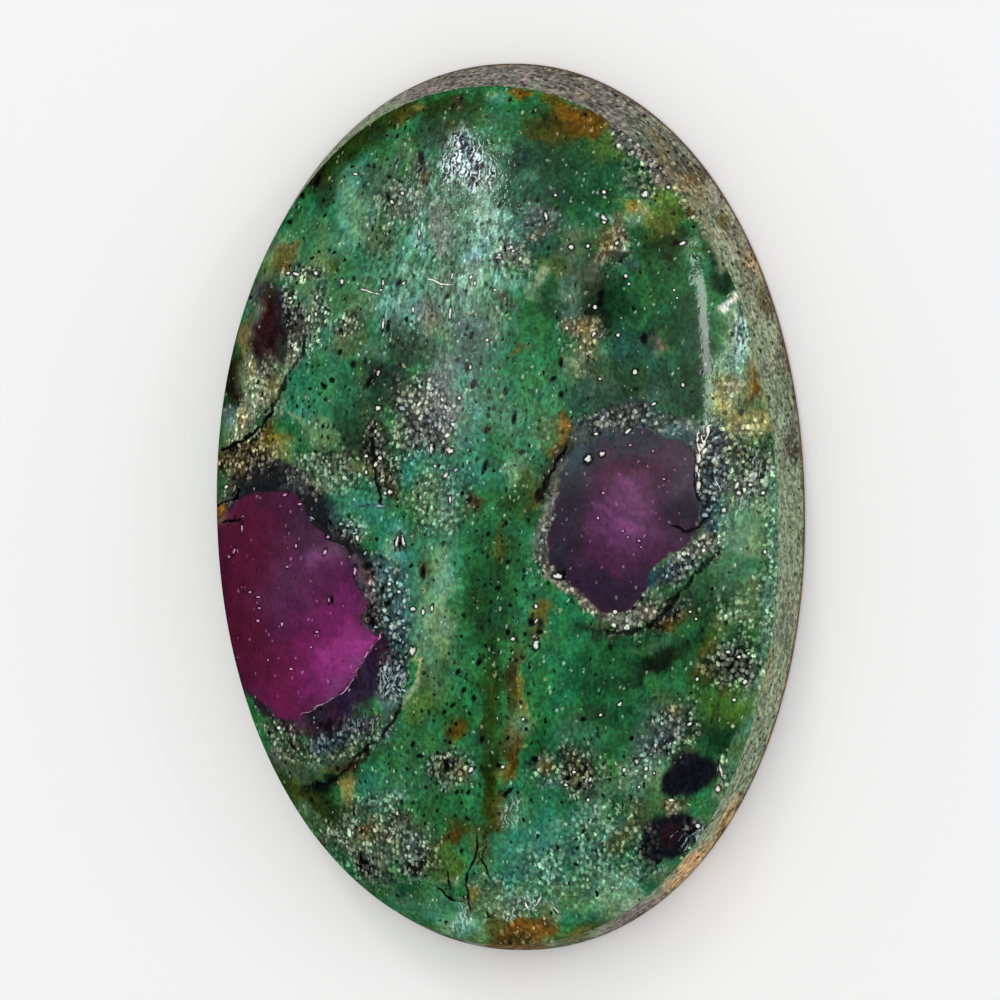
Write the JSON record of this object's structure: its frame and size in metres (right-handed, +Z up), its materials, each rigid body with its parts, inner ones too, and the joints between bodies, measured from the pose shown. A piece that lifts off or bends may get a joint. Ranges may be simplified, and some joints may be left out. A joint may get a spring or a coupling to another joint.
{
  "type": "ruby in fuchsite cabochon",
  "caption": "Loose oval cabochon of ruby in fuchsite: low polished dome, ground side wall and flat ground back to rest or be set on.",
  "frame": {"origin": "centre of the flat ground back, in the plane that the stone lies on", "axes": "+Z up through the dome, +Y along the long axis, +X across the width"},
  "size_m": [0.0206, 0.03, 0.0056],
  "materials": {
    "stone": "polished"
  },
  "bodies": {
    "root": {"cabochon": "stone"}
  },
  "joints": []
}
